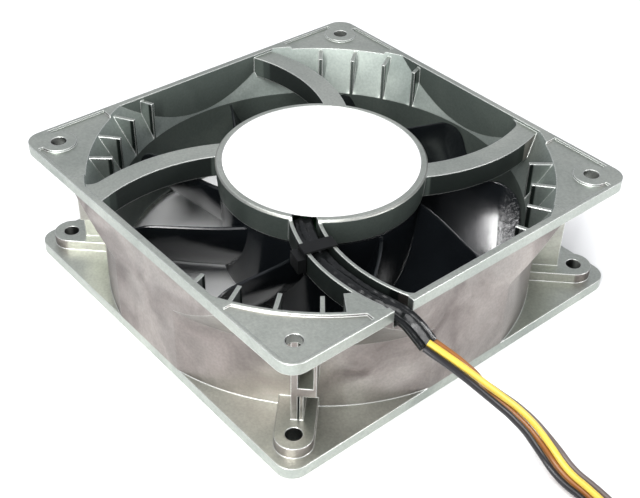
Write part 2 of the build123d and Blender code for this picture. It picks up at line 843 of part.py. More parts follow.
# Heat-shrink sleeve: flat in the channel, then bending down outside the notch
sleeve_bottom = channel_bottom + seat_gap
with BuildPart() as cable_sleeve:
    with BuildSketch(Plane.XY.offset(sleeve_bottom)):
        with Locations((strut_arc_x, strut_arc_y)):
            Circle(strut_arc_radius + sleeve_width / 2)
            Circle(strut_arc_radius - sleeve_width / 2, mode=Mode.SUBTRACT)
        with Locations(((sleeve_start + sleeve_turn_x) / 2, strut_arc_y - strut_arc_radius)):
            Rectangle(sleeve_turn_x - sleeve_start, strut_arc_radius, mode=Mode.INTERSECT)
    extrude(amount=sleeve_height)
    yaw = math.radians(sleeve_yaw)
    turn_y = strut_arc_y - math.sqrt(strut_arc_radius**2 - (sleeve_turn_x - strut_arc_x) ** 2)
    bend_plane = Plane(
        origin=(sleeve_turn_x - math.cos(yaw), turn_y - math.sin(yaw), sleeve_bottom),
        x_dir=(math.cos(yaw), math.sin(yaw), 0),
        z_dir=(math.sin(yaw), -math.cos(yaw), 0),
    )
    half_height = sleeve_height / 2
    tail_x = math.cos(math.radians(sleeve_bend_angle))
    tail_z = -math.sin(math.radians(sleeve_bend_angle))
    bend_centre = (sleeve_straight, half_height - sleeve_bend_radius)
    with BuildSketch(bend_plane):
        with BuildLine():
            outline = []
            for half in (half_height, -half_height):
                start = (0, half_height + half)
                corner = (sleeve_straight, half_height + half)
                arc_radius = sleeve_bend_radius + half
                bent = (bend_centre[0] - arc_radius * tail_z, bend_centre[1] + arc_radius * tail_x)
                end = (bent[0] + sleeve_tail * tail_x, bent[1] + sleeve_tail * tail_z)
                Line(start, corner)
                CenterArc(bend_centre, arc_radius, 90, -sleeve_bend_angle)
                Line(bent, end)
                outline.append((start, end))
            Line(outline[0][0], outline[1][0])
            Line(outline[0][1], outline[1][1])
        make_face()
    extrude(amount=sleeve_width / 2, both=True)
save(cable_sleeve.part, "cable_sleeve")
sleeve_end = bend_plane.from_local_coords(
    ((outline[0][1][0] + outline[1][1][0]) / 2, (outline[0][1][1] + outline[1][1][1]) / 2, 0)
)
print("sleeve ends at", [round(value, 2) for value in sleeve_end])

# Cable tie round the channel strut, with its head at the strut's side
tie_angle = math.acos((tie_x - strut_arc_x) / strut_arc_radius)
tie_out = (math.cos(tie_angle), -math.sin(tie_angle), 0)
tie_along = (math.sin(tie_angle), math.cos(tie_angle), 0)
tie_plane = Plane(
    origin=(
        strut_arc_x + strut_arc_radius * tie_out[0],
        strut_arc_y + strut_arc_radius * tie_out[1],
        (strut_top + strut_bottom) / 2,
    ),
    x_dir=tie_out,
    z_dir=tie_along,
)
with BuildPart() as cable_tie:
    with BuildSketch(tie_plane):
        inner_width = channel_width + 2 * loose_gap
        inner_height = strut_top - strut_bottom + seat_gap
        RectangleRounded(inner_width + 2 * tie_thickness, inner_height + 2 * tie_thickness, tie_thickness)
        Rectangle(inner_width, inner_height, mode=Mode.SUBTRACT)
    extrude(amount=tie_width / 2, both=True)
    with BuildSketch(tie_plane):
        with Locations(((inner_width + tie_head_thickness) / 2 + tie_thickness / 2, 0)):
            Rectangle(tie_head_thickness, tie_head_height)
    extrude(amount=tie_head_width / 2, both=True)
save(cable_tie.part, "cable_tie")


def corner_radii(points):
    """The radius of each corner: 0.45 of the shorter run over the tangent of half the turn."""
    radii = []
    for before, here, after in zip(points, points[1:], points[2:]):
        run_in = Vector(*here) - Vector(*before)
        run_out = Vector(*after) - Vector(*here)
        turn = math.radians(run_in.get_angle(run_out))
        radii.append(0.45 * min(run_in.length, run_out.length) / math.tan(turn / 2))
    return radii


def cord(points, name):
    """A plain round tube along a route of straight runs and tangent arcs."""
    radii = corner_radii(points)
    with BuildPart() as tube:
        with BuildLine() as path:
            FilletPolyline(*points, radius=radii)
        start = Vector(*points[1]) - Vector(*points[0])
        with BuildSketch(Plane(origin=points[0], z_dir=tuple(start))):
            Circle(lead_diameter / 2)
        sweep(path=path.wires()[0])
    expected = math.pi * lead_diameter**2 / 4 * path.wires()[0].length
    print(name, "radii", [round(r, 1) for r in radii], "length", round(path.wires()[0].length, 1))
    print(name, "volume", round(tube.part.volume, 1), "expected", round(expected, 1))
    save(tube.part, name)


cord(lead_route, "lead_run")

# The put-away length lies in a flat coil on the surface
coil_inner_turn = coil_outer_turn - coil_turns * lead_diameter
coil_inside = coil_inner_turn - lead_diameter / 2
coil_outside = coil_outer_turn + lead_diameter / 2
with BuildPart() as lead_coil:
    with BuildSketch(Plane(origin=(coil_x, coil_y, lead_diameter / 2), x_dir=(1, 0, 0), z_dir=(0, -1, 0))):
        with Locations(((coil_inside + coil_outside) / 2, 0)):
            SlotOverall(coil_outside - coil_inside, lead_diameter)
    revolve(axis=Axis((coil_x, coil_y, 0), (0, 0, 1)))
save(lead_coil.part, "lead_coil")

# The tail leaves the coil inward on a wider curve than the turns, and ends in the connector
coil_start = math.degrees(math.atan2(lead_route[-1][1] - coil_y, lead_route[-1][0] - coil_x))
tail_start = coil_start - 360 * coil_turns
tail_centre_x = coil_x + (coil_inner_turn - tail_radius) * math.cos(math.radians(tail_start))
tail_centre_y = coil_y + (coil_inner_turn - tail_radius) * math.sin(math.radians(tail_start))
tail_reach = tail_radius / math.cos(math.radians(tail_step / 2))
tail_run = 2 * tail_reach * math.sin(math.radians(tail_step / 2))
tail_route = []
for index in range(4):
    angle = math.radians(tail_start - tail_step * (index + 0.5))
    corner_x = tail_centre_x + tail_reach * math.cos(angle)
    corner_y = tail_centre_y + tail_reach * math.sin(angle)
    tail_route.append((corner_x, corner_y, lead_diameter / 2))
entry_heading = math.radians(tail_start - 90)
tail_first = (
    tail_route[0][0] - tail_run * math.cos(entry_heading),
    tail_route[0][1] - tail_run * math.sin(entry_heading),
    lead_diameter / 2,
)
tail_heading = math.radians(tail_start - 90 - 4 * tail_step)
tail_end = (
    tail_route[-1][0] + tail_run * math.cos(tail_heading),
    tail_route[-1][1] + tail_run * math.sin(tail_heading),
    lead_diameter / 2,
)
tail_route = [tail_first] + tail_route + [tail_end]
cord(tail_route, "lead_tail")

# Four-way connector housing, with a socket for each contact and a window beside it
connector_plane = Plane(
    origin=(tail_end[0], tail_end[1], connector_width / 2),
    x_dir=(-math.sin(tail_heading), math.cos(tail_heading), 0),
    z_dir=(math.cos(tail_heading), math.sin(tail_heading), 0),
)
with BuildPart() as connector_housing:
    with BuildSketch(connector_plane):
        Rectangle(connector_width, connector_width)
    extrude(amount=connector_length)
    with BuildSketch(connector_plane):
        with GridLocations(pin_pitch, pin_pitch, 2, 2):
            Rectangle(contact_width + 2 * seat_gap, contact_width + 2 * seat_gap)
    extrude(amount=connector_length, mode=Mode.SUBTRACT)
    window_plane = Plane(
        origin=connector_plane.origin + connector_plane.z_dir * contact_middle,
        x_dir=connector_plane.x_dir,
        z_dir=(0, 0, 1),
    )
    with BuildSketch(window_plane):
        with GridLocations(pin_pitch, 1, 2, 1):
            Rectangle(window_width, window_length)
    extrude(amount=connector_width, both=True, mode=Mode.SUBTRACT)
save(connector_housing.part, "connector_housing")

contact_start = contact_middle - contact_length / 2
with BuildPart() as connector_contacts:
    with BuildSketch(connector_plane.offset(contact_start)):
        with GridLocations(pin_pitch, pin_pitch, 2, 2):
            Rectangle(contact_width, contact_width)
            Rectangle(contact_width / 2, contact_width / 2, mode=Mode.SUBTRACT)
    extrude(amount=contact_length)
save(connector_contacts.part, "connector_contacts")
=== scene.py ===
# %% [markdown]
# A server cooling fan, dressed round its solid model
#
# The solid model of the fan is loaded as a fixed frame, with every piece in
# its place. This lesson adds what a solid model lacks: a real finish for each
# piece, the four loose wires of the lead, and the wrinkled skin of the sleeve
# that holds them. Everything is in metres, with the origin in the middle of
# the intake face and +Z along the fan's axis.

# %% Load the frame
import math

import bpy
import numpy as np
from mathutils import Matrix, Vector


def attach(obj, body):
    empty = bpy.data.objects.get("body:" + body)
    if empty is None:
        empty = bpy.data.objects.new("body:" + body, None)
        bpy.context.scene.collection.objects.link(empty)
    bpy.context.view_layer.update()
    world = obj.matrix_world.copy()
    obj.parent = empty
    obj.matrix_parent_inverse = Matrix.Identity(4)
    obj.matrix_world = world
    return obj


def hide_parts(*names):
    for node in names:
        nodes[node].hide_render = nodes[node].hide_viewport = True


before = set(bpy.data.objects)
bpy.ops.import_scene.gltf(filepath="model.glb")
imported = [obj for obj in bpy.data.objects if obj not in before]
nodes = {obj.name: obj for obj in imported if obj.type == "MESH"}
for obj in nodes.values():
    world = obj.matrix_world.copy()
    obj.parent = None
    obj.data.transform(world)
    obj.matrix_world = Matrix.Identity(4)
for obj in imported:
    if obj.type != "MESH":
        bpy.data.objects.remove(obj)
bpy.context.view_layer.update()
MM = 0.001

# %% [markdown]
# The camera
#
# The picture was taken from above one corner of the exhaust side, fairly
# close, so the near corner looks larger than the far one. A camera that is
# placed by eye leaves every later comparison a little off. This one comes from
# the turn round the fan, the rise above the horizon and the distance at which
# the model's corners and screw holes fall on those of the picture, with a
# small roll. Its own axes are worked out first, because its place is given
# along them.

# %% Camera
turn, rise, roll = (math.radians(angle) for angle in (48.988, 38.139, 1.353))
top_of_fan = 0.038
aside, below, away = -0.000433, -0.025427, 0.311268
photo_width_px = 640
focal_length_px = 1120.887
sensor_mm = 36
back = Vector((math.sin(turn) * math.cos(rise), -math.cos(turn) * math.cos(rise), math.sin(rise)))
level = Vector((math.cos(turn), math.sin(turn), 0))
upright = back.cross(level)
right = level * math.cos(roll) + upright * math.sin(roll)
up = upright * math.cos(roll) - level * math.sin(roll)
eye = right * aside + up * below + back * away + Vector((0, 0, top_of_fan))
camera = bpy.data.objects.new("camera", bpy.data.cameras.new("camera"))
bpy.context.scene.collection.objects.link(camera)
camera.data.sensor_width = sensor_mm
camera.data.lens = focal_length_px * sensor_mm / photo_width_px
camera.data.clip_start = 0.01
camera.data.clip_end = 10
camera.matrix_world = Matrix.Translation(eye) @ Matrix((right, up, back)).transposed().to_4x4()
bpy.context.scene.camera = camera
print("the camera stands at", [round(c, 4) for c in eye], "with a lens of", round(camera.data.lens, 2), "mm")

# %% [markdown]
# Helpers for materials
#
# A material is a tree of shader nodes. It could be clicked together in the
# node editor, but then nobody can read it or build it again, so here it is
# written down, with one small function that adds a node, its settings and its
# links. Colours are picked as sRGB hex and Blender counts in linear light, so
# another function turns one into the other. Object coordinates are in metres,
# and the last one gives a pattern its size in millimetres.

# %% Helpers for materials
def linear(colour):
    """
    Turns sRGB hex into linear light: a channel c gives c/12.92 where it is dark, and otherwise
    ((c + 0.055)/1.055) to the power 2.4.
    """
    channels = np.array([int(colour[i : i + 2], 16) for i in (1, 3, 5)]) / 255
    light = np.where(channels <= 0.04045, channels / 12.92, ((channels + 0.055) / 1.055) ** 2.4)
    return (*light.tolist(), 1.0)


def add(tree, kind, inputs=None, **settings):
    """Adds a shader node. settings are its properties; inputs gives a socket a value or a node's output."""
    node = tree.nodes.new("ShaderNode" + kind)
    for name, value in settings.items():
        setattr(node, name, value)
    for socket, value in (inputs or {}).items():
        if isinstance(value, bpy.types.NodeSocket):
            tree.links.new(value, node.inputs[socket])
        else:
            node.inputs[socket].default_value = value
    return node


def empty_finish(name):
    """A new material with no nodes in it yet."""
    finish = bpy.data.materials.new(name)
    finish.use_nodes = True
    finish.node_tree.nodes.clear()
    return finish


def per_metre(size_mm):
    """The scale that makes a pattern repeat about every size_mm, since Object coordinates are in metres."""
    return 1000 / size_mm


print("sRGB #808080 is", round(linear("#808080")[0], 3), "in linear light")

# %% [markdown]
# The sheet under the fan
#
# Small products are shot on a pale matt sheet. A plane added from the menu
# would do, but the wires and the sleeve need a mesh made from points and
# faces too, so the helper for that comes in here, and the sheet is its first
# and simplest use: four points and one face. It lies a little below the fan's
# lowest face, so that the two don't share one plane.

# %% Sheet
def new_mesh(name, points, faces, finishes=(), smooth_below=None):
    """A mesh object at the origin. Edges sharper than smooth_below degrees stay crisp."""
    mesh = bpy.data.meshes.new(name)
    mesh.from_pydata(np.asarray(points).tolist(), [], faces)
    mesh.update()
    for finish in finishes:
        mesh.materials.append(finish)
    if smooth_below is not None:
        mesh.polygons.foreach_set("use_smooth", [True] * len(mesh.polygons))
        mesh.set_sharp_from_angle(angle=math.radians(smooth_below))
    piece = bpy.data.objects.new(name, mesh)
    bpy.context.scene.collection.objects.link(piece)
    return piece


def paper_sheet():
    """White background paper: matt, with a faint cloudiness 60 mm across."""
    finish = empty_finish("background_paper")
    tree = finish.node_tree
    place = add(tree, "TexCoord").outputs["Object"]
    cloud = add(tree, "TexNoise", {"Vector": place, "Scale": per_metre(60), "Detail": 2.0}).outputs["Fac"]
    whites = {"Factor": cloud, "A": linear("#fbfbfa"), "B": linear("#f6f7f6")}
    shade = add(tree, "Mix", whites, data_type="RGBA").outputs["Result"]
    paper = add(tree, "BsdfPrincipled", {"Base Color": shade, "Roughness": 0.9})
    add(tree, "OutputMaterial", {"Surface": paper.outputs[0]})
    return finish


sheet_reach = 3.0
sheet_drop = 0.0002
corner_signs = ((-1, -1), (1, -1), (1, 1), (-1, 1))
sheet_corners = [(x * sheet_reach, y * sheet_reach, -sheet_drop) for x, y in corner_signs]
sheet = new_mesh("floor", sheet_corners, [(0, 1, 2, 3)], [paper_sheet()])
print("the sheet is", 2 * sheet_reach, "m square")

# %% [markdown]
# Room and lamps
#
# Bare metal is drawn by what it mirrors, so the room decides its tone: seen
# from above, the flat faces mirror the room at half height, which is kept
# grey, and the upright walls mirror the white sheet. A picture of a real
# studio could light the scene, but four plain lamps with wide fronts are
# easier to steer. The one overhead lights the sheet, also through the fan.
# The tall narrow one beside the camera gives the glossy blades their long
# bright streaks. The other two lift the near walls and the right-hand side.

# %% Room and lamps
world = bpy.data.worlds.new("grey_room")
bpy.context.scene.world = world
world.use_nodes = True
background = world.node_tree.nodes["Background"]
background.inputs["Color"].default_value = linear("#f4f6ff")
background.inputs["Strength"].default_value = 0.55


def softbox(name, turn, rise, distance, width, height, watts, aim=(0, 0, 0.02)):
    """A lamp with a wide front that faces aim from a turn and a rise in degrees, as seen from the fan."""
    lamp = bpy.data.lights.new(name, "AREA")
    lamp.shape = "RECTANGLE"
    lamp.size = width
    lamp.size_y = height
    lamp.energy = watts
    turn, rise = math.radians(turn), math.radians(rise)
    outward = Vector((math.cos(turn) * math.cos(rise), math.sin(turn) * math.cos(rise), math.sin(rise)))
    holder = bpy.data.objects.new(name, lamp)
    bpy.context.scene.collection.objects.link(holder)
    holder.location = Vector(aim) + distance * outward
    holder.rotation_euler = outward.to_track_quat("Z", "Y").to_euler()


softbox("overhead_lamp", turn=-110, rise=76, distance=0.9, width=0.5, height=0.5, watts=4.2)
softbox("strip_lamp", turn=-61.5, rise=29, distance=0.8, width=0.068, height=0.88, watts=6.3)
softbox("front_lamp", turn=-45, rise=55, distance=0.9, width=0.3, height=0.3, watts=2)
softbox("side_lamp", turn=20, rise=12, distance=0.8, width=0.4, height=0.25, watts=3)
bpy.context.scene.view_settings.view_transform = "Standard"
print("the room has", len(bpy.data.lights), "lamps")

# %% [markdown]
# The route of the lead
#
# Four thin wires leave the flat sleeve, drop to the table and run off to the
# right. Beyond the picture they lie in one round coil and end in the
# connector. Each wire could be drawn as a curve of its own, but a cord is
# easier to steer as one line with a known length, which all wires follow. The
# loose stretch can't be written as a formula, so its points are listed one by
# one along the picture.

# %% Loose stretch of the lead
lead_diameter = 0.0046
lead_route = [
    (0.0683, -0.0248, 0.0312),
    (0.0738, -0.0223, 0.0286),
    (0.0806, -0.0164, 0.0212),
    (0.0877, -0.0093, 0.0126),
    (0.0942, -0.0067, 0.0059),
    (0.1012, -0.0071, 0.0023),
    (0.1080, -0.0072, 0.0023),
    (0.1170, -0.0085, 0.0023),
    (0.1290, -0.0150, 0.0023),
    (0.1413, -0.0203, 0.0023),
]
print("the loose stretch has", len(lead_route), "points")

# %% [markdown]
# The coil and the tail
#
# A lead that lies ready for storage is wound into a round coil, each turn a
# lead's thickness inside the last. Its points could be chosen by hand too,
# but a circle wobbles that way, so a loop works them out: the angle goes
# round and the radius shrinks with it. A smooth curve runs inside its points,
# so each stands out by one over the cosine of half a step. The tail leaves
# the coil on a tighter circle that touches it from inside.

# %% Coil and tail
lying = lead_diameter / 2
coil_centre = (0.132, -0.046)
coil_outer, coil_turns, points_per_turn = 0.0273, 1.15, 16
coil_inner = coil_outer - coil_turns * lead_diameter
coil_start = math.atan2(lead_route[-1][1] - coil_centre[1], lead_route[-1][0] - coil_centre[0])
coil_steps = round(coil_turns * points_per_turn)
stand_out = 1 / math.cos(math.pi / points_per_turn)
coil_points = []
for step in range(1, coil_steps + 1):
    share = step / coil_steps
    angle = coil_start - 2 * math.pi * coil_turns * share
    radius = (coil_outer + (coil_inner - coil_outer) * share) * stand_out
    x = coil_centre[0] + radius * math.cos(angle)
    y = coil_centre[1] + radius * math.sin(angle)
    coil_points.append((x, y, lying))

# The tail's circle has its middle on the line from the coil's middle to the coil's end
tail_radius, tail_step, tail_steps = 0.0154, math.radians(30), 4
tail_start = coil_start - 2 * math.pi * coil_turns
tail_x = coil_centre[0] + (coil_inner - tail_radius) * math.cos(tail_start)
tail_y = coil_centre[1] + (coil_inner - tail_radius) * math.sin(tail_start)
tail_reach = tail_radius / math.cos(tail_step / 2)
tail_points = []
for step in range(tail_steps):
    angle = tail_start - tail_step * (step + 0.5)
    tail_points.append((tail_x + tail_reach * math.cos(angle), tail_y + tail_reach * math.sin(angle), lying))
tail_heading = tail_start - math.pi / 2 - tail_steps * tail_step
tail_run = 2 * tail_reach * math.sin(tail_step / 2)
end_x = tail_points[-1][0] + tail_run * math.cos(tail_heading)
end_y = tail_points[-1][1] + tail_run * math.sin(tail_heading)
lead_points = lead_route + coil_points + tail_points + [(end_x, end_y, lying)]
print("the lead has", len(lead_points), "points,", coil_steps, "of them on", coil_turns, "turns")

# %% [markdown]
# A smooth line through the route
#
# A wire has no corners, so the line must be smooth. Its formula could be
# worked out here, but Blender has it already: a NURBS spline with the route's
# points as control points. The curve is made with no thickness, its drawn
# points are read from it as a mesh, and the curve is thrown away. Those
# points lie closer where the route's points do, so a second function spaces
# them evenly, which keeps the faces of a skin on them about equally long.

# %% Smooth line
def smooth_line(name, points):
    """The points that Blender works out along a NURBS spline of order 3 with these control points."""
    curve = bpy.data.curves.new(name, "CURVE")
    curve.dimensions = "3D"
    spline = curve.splines.new("NURBS")
    spline.points.add(len(points) - 1)
    spline.points.foreach_set("co", np.hstack([np.array(points), np.ones((len(points), 1))]).ravel())
    spline.order_u = 3
    spline.use_endpoint_u = True
    spline.resolution_u = 12
    holder = bpy.data.objects.new(name, curve)
    bpy.context.scene.collection.objects.link(holder)
    bpy.context.view_layer.update()
    drawn = bpy.data.meshes.new_from_object(holder.evaluated_get(bpy.context.evaluated_depsgraph_get()))
    line = np.empty(len(drawn.vertices) * 3)
    drawn.vertices.foreach_get("co", line)
    bpy.data.objects.remove(holder)
    bpy.data.curves.remove(curve)
    bpy.data.meshes.remove(drawn)
    return line.reshape(-1, 3)


def evenly(line, spacing):
    """The same line with points a fixed distance apart, by linear interpolation along its length."""
    steps = np.linalg.norm(np.diff(line, axis=0), axis=1)
    along = np.concatenate([[0], np.cumsum(steps)])
    stations = np.linspace(0, along[-1], max(2, round(along[-1] / spacing)) + 1)
    return stations, np.stack([np.interp(stations, along, line[:, k]) for k in range(3)], axis=1)


lead_stations, lead_line = evenly(smooth_line("lead_line", lead_points), 0.0008)
print("the lead is", round(float(lead_stations[-1]) / MM, 1), "mm long")

# %% [markdown]
# Skins along a line
#
# The sleeve and the wires are one idea: a closed profile carried along a
# line. A bevelled curve does that too, but with one profile all the way, and
# it hides its points. Here two directions square to the line are found at
# each station, one level and one pointing up, and the profile is laid out in
# them. That gives a grid of points, rows along the line and columns round the
# profile, which becomes quads with a fan of triangles over each end.

# %% Skin helpers
def level_axes(line):
    """Unit vectors along a line, level across it, and square to both, for a line that is never upright."""
    along = np.gradient(line, axis=0)
    along /= np.linalg.norm(along, axis=1)[:, None]
    across = np.cross(along, (0, 0, 1.0))
    across /= np.linalg.norm(across, axis=1)[:, None]
    return along, across, np.cross(across, along)


def skin_faces(rows, columns, first=0):
    """
    Quads between neighbouring rings and a fan over each end, for rings that close on themselves. Point j of
    ring i has the number i times columns plus j, counted from first, and the middles of the ends come last.
    """
    i, j = np.meshgrid(np.arange(rows - 1), np.arange(columns), indexing="ij")
    k = (j + 1) % columns
    here, beyond = i * columns, (i + 1) * columns
    quads = np.stack([here + j, here + k, beyond + k, beyond + j], axis=-1)
    ring = np.arange(columns)
    after = (ring + 1) % columns
    start_middle, end_middle = rows * columns, rows * columns + 1
    last_ring = (rows - 1) * columns
    start_lid = np.stack([np.full(columns, start_middle), after, ring], axis=1)
    end_lid = np.stack([np.full(columns, end_middle), last_ring + ring, last_ring + after], axis=1)
    parts = (quads.reshape(-1, 4), start_lid, end_lid)
    return [face for part in parts for face in (part + first).tolist()]


def skin_points(grid):
    """A grid's points row by row, then the middle of its first ring and of its last."""
    return np.vstack([grid.reshape(-1, 3), grid[0].mean(axis=0), grid[-1].mean(axis=0)])


print("a skin of 2 rings of 3 points has", len(skin_faces(2, 3)), "faces")

# %% [markdown]
# The line of the sleeve
#
# A sleeve of heat-shrink tube holds the wires flat in the strut's channel,
# runs out through the notch in the flange and bends down there. Its line is
# the middle of the channel, given point by point like the lead's, and it ends
# where the lead begins, so that the wires come out of its mouth.

# %% Line of the sleeve
sleeve_route = [
    (0.0170, -0.0206, 0.0345),
    (0.0198, -0.0222, 0.0345),
    (0.0257, -0.0248, 0.0345),
    (0.0318, -0.0265, 0.0345),
    (0.0382, -0.0274, 0.0345),
    (0.0446, -0.0274, 0.0345),
    (0.0509, -0.0266, 0.0345),
    (0.0550, -0.0257, 0.0345),
    (0.0590, -0.0254, 0.0345),
    (0.0631, -0.0252, 0.0345),
    (0.0683, -0.0248, 0.0312),
]
sleeve_stations, sleeve_line = evenly(smooth_line("sleeve_line", sleeve_route), 0.0004)
print("the sleeve is", round(float(sleeve_stations[-1]) / MM, 1), "mm long")

# %% [markdown]
# The surface of the sleeve
#
# Shrinking over four wires leaves long soft ridges where they lie and short
# wrinkles across them, and past the notch the sleeve folds into two lobes
# with a deep crease. Cloth simulation could wrinkle a tube, but not where one
# wants it. A surface of two parameters, the station along the sleeve and the
# angle round it, puts each ridge and fold in its place, in one formula.

# %% Surface of the sleeve
half_wide, half_high, squareness = 0.00272, 0.00158, 3.2
sleeve_columns = 56
# In mm along the sleeve: where its folds begin and are full, and how long its inner end swells
notch_from, notch_to, swell_run = 37, 44, 5
# In mm: heights and depths of the folds, and where across the sleeve they lie
ridge_height, ridge_spacing = 0.24, 2.5
crease_depth, crease_across, crease_width = 1.5, 0.75, 0.5
flap_drop, flap_from, flap_to = 0.75, 0.6, 1.4
fold_height, fold_across, fold_width = 0.4, -1.7, 0.25
swell_height, flattening = 0.75, 0.12


def ease(value, low, high):
    """0 below low, 1 above high, and the smooth step 3t^2 - 2t^3 between them."""
    share = np.clip((value - low) / (high - low), 0, 1)
    return share * share * (3 - 2 * share)


def sleeve_grid():
    """
    Rings along the sleeve. The profile is a superellipse: across is the half width times the cosine to the
    power 2/n and up is the half height times the sine to the same power, and each keeps its sign. The upper
    side adds ridges, a cosine of across with a wandering phase; wrinkles, products of sines along the run; and
    past the notch a crease and a fold, which are bell curves in across, and a flap that drops.
    """
    turn = np.linspace(0, 2 * np.pi, sleeve_columns, endpoint=False)
    station = sleeve_stations[:, None] / MM
    flat = np.sign(np.cos(turn)) * np.abs(np.cos(turn)) ** (2 / squareness)
    high = np.sign(np.sin(turn)) * np.abs(np.sin(turn)) ** (2 / squareness)
    across_mm = (flat * half_wide / MM)[None, :] + 0 * station
    up_mm = (high * half_high / MM)[None, :] + 0 * station
    upper = ease(high, 0.1, 0.9)[None, :]
    past_notch = ease(station, notch_from, notch_to)
    sway = 0.5 * np.sin(station / 6.1) + 0.25 * np.sin(station / 2.7 + 1)
    ridges = ridge_height * np.cos(2 * np.pi * (across_mm - 0.5 * sway - 0.5) / ridge_spacing)
    wrinkles = 0.05 * np.sin(station / 0.62 + 1.3 * across_mm) * np.sin(station / 2.3 + 0.9 * across_mm)
    wrinkles = wrinkles + 0.02 * np.sin(station / 0.37 - 2.1 * across_mm + 0.8 * sway)
    crease = -crease_depth * past_notch * np.exp(-(((across_mm - crease_across) / crease_width) ** 2))
    flap = -flap_drop * past_notch * ease(across_mm, flap_from, flap_to)
    fold = fold_height * past_notch * np.exp(-(((across_mm - fold_across) / fold_width) ** 2))
    swell = swell_height * ease(station, swell_run, 0)
    lowered = flattening * (1 - past_notch) + flattening
    up_mm = up_mm + upper * (ridges + wrinkles + crease + flap + fold + swell - lowered)
    across_mm = across_mm * (1 + 0.02 * np.sin(station / 1.9) - 0.03)
    _, across, upward = level_axes(sleeve_line)
    offset = across_mm[..., None] * across[:, None, :] + up_mm[..., None] * upward[:, None, :]
    return sleeve_line[:, None, :] + MM * offset


# The open end is a smaller ring inside the last one, and one more that is set back, so that the end has a lip
lip_share, lip_depth = 0.84, 0.0004
sleeve_rings = sleeve_grid()
mouth_middle = sleeve_rings[-1].mean(axis=0)
mouth = mouth_middle + lip_share * (sleeve_rings[-1] - mouth_middle)
inward = sleeve_line[-2] - sleeve_line[-1]
recess = mouth + lip_depth * inward / np.linalg.norm(inward)
sleeve_rings = np.concatenate([sleeve_rings, mouth[None], recess[None]])
print("the sleeve has", len(sleeve_rings), "rings of", sleeve_columns, "points")

# %% [markdown]
# The finish of the sleeve
#
# The sleeve is cross-linked polyolefin, shrunk with hot air: black and
# glossy, with fine cockles where it cooled against the wires. The cockles are
# only about a millimetre across, so they are relief in the material and not
# in the mesh. A slow mottle varies the black and the gloss together, as on
# plastic that was heated unevenly.

# %% Sleeve finish
def shrunk_polyolefin():
    """Black skin, mottled every 3 mm, with cockles 1.4 mm apart and a gloss that follows the mottle."""
    finish = empty_finish("shrunk_polyolefin")
    tree = finish.node_tree
    place = add(tree, "TexCoord").outputs["Object"]
    mottle = add(tree, "TexNoise", {"Vector": place, "Scale": per_metre(3), "Detail": 3.0}).outputs["Fac"]
    blacks = {"Factor": mottle, "A": linear("#090a0a"), "B": linear("#161818")}
    shade = add(tree, "Mix", blacks, data_type="RGBA").outputs["Result"]
    ripple = {"Vector": place, "Scale": per_metre(1.4), "Detail": 2.0, "Distortion": 0.6}
    cockle = add(tree, "TexNoise", ripple).outputs["Fac"]
    relief = add(tree, "Bump", {"Height": cockle, "Strength": 0.2, "Distance": 0.0002}).outputs[0]
    gloss = add(tree, "MapRange", {"Value": mottle, "To Min": 0.14, "To Max": 0.28}).outputs[0]
    shine = {"Roughness": gloss, "IOR": 1.52, "Specular IOR Level": 0.35}
    body = add(tree, "BsdfPrincipled", {"Base Color": shade, "Normal": relief, **shine})
    add(tree, "OutputMaterial", {"Surface": body.outputs[0]})
    return finish


sleeve_points = skin_points(sleeve_rings)
sleeve_faces = skin_faces(len(sleeve_rings), sleeve_columns)
sleeve = new_mesh("shrunk_sleeve", sleeve_points, sleeve_faces, [shrunk_polyolefin()], smooth_below=70)
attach(sleeve, "frame")
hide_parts("cable_sleeve")
print("the sleeve has", len(sleeve.data.polygons), "faces")

# %% [markdown]
# Insulation of the wires
#
# Each wire is stranded copper in soft PVC. PVC that was extruded onto the
# strands is smooth with a satin shine, its colour wavers a little along the
# wire, and a faint grain shows in the light. Each wire could have a finish
# tuned by itself, but on the real lead the four differ in colour alone, so
# one function makes the finish in any colour.

# %% Wire insulation
def soft_pvc(name, colour, shine=0.32):
    """Extruded PVC: the colour and a darker one in clouds 6 mm long, with grain 0.5 mm apart and IOR 1.53."""
    finish = empty_finish(name)
    tree = finish.node_tree
    darker = tuple((np.array(linear(colour)) * (0.72, 0.72, 0.72, 1)).tolist())
    place = add(tree, "TexCoord").outputs["Object"]
    cloud = {"Vector": place, "Scale": per_metre(6), "Detail": 3.0, "Roughness": 0.6}
    waver = add(tree, "TexNoise", cloud).outputs["Fac"]
    shade = add(tree, "Mix", {"Factor": waver, "A": darker, "B": linear(colour)}, data_type="RGBA")
    grain = add(tree, "TexNoise", {"Vector": place, "Scale": per_metre(0.5), "Detail": 2.0}).outputs["Fac"]
    relief = add(tree, "Bump", {"Height": grain, "Strength": 0.12, "Distance": 0.0001}).outputs[0]
    gloss = add(tree, "MapRange", {"Value": waver, "To Min": shine - 0.05, "To Max": shine + 0.12}).outputs[0]
    skin = {"Base Color": shade.outputs["Result"], "Roughness": gloss, "Normal": relief, "IOR": 1.53}
    body = add(tree, "BsdfPrincipled", skin)
    add(tree, "OutputMaterial", {"Surface": body.outputs[0]})
    return finish


print("black PVC is", [round(c, 4) for c in linear("#161418")[:3]], "in linear light")

# %% [markdown]
# Four wires side by side
#
# The wires are 1.7 mm across and leave the flat sleeve in a fan. Seen along
# the lead, yellow lies on top, brown starts on its left and ducks under it,
# grey comes out from below and takes brown's side, and black stands a little
# apart on the right. In the coil they sit two over two. Four hand-made curves
# would drift apart, so a table says how far each wire stands off the lead's
# line at a few stations, and its place between them is interpolated.

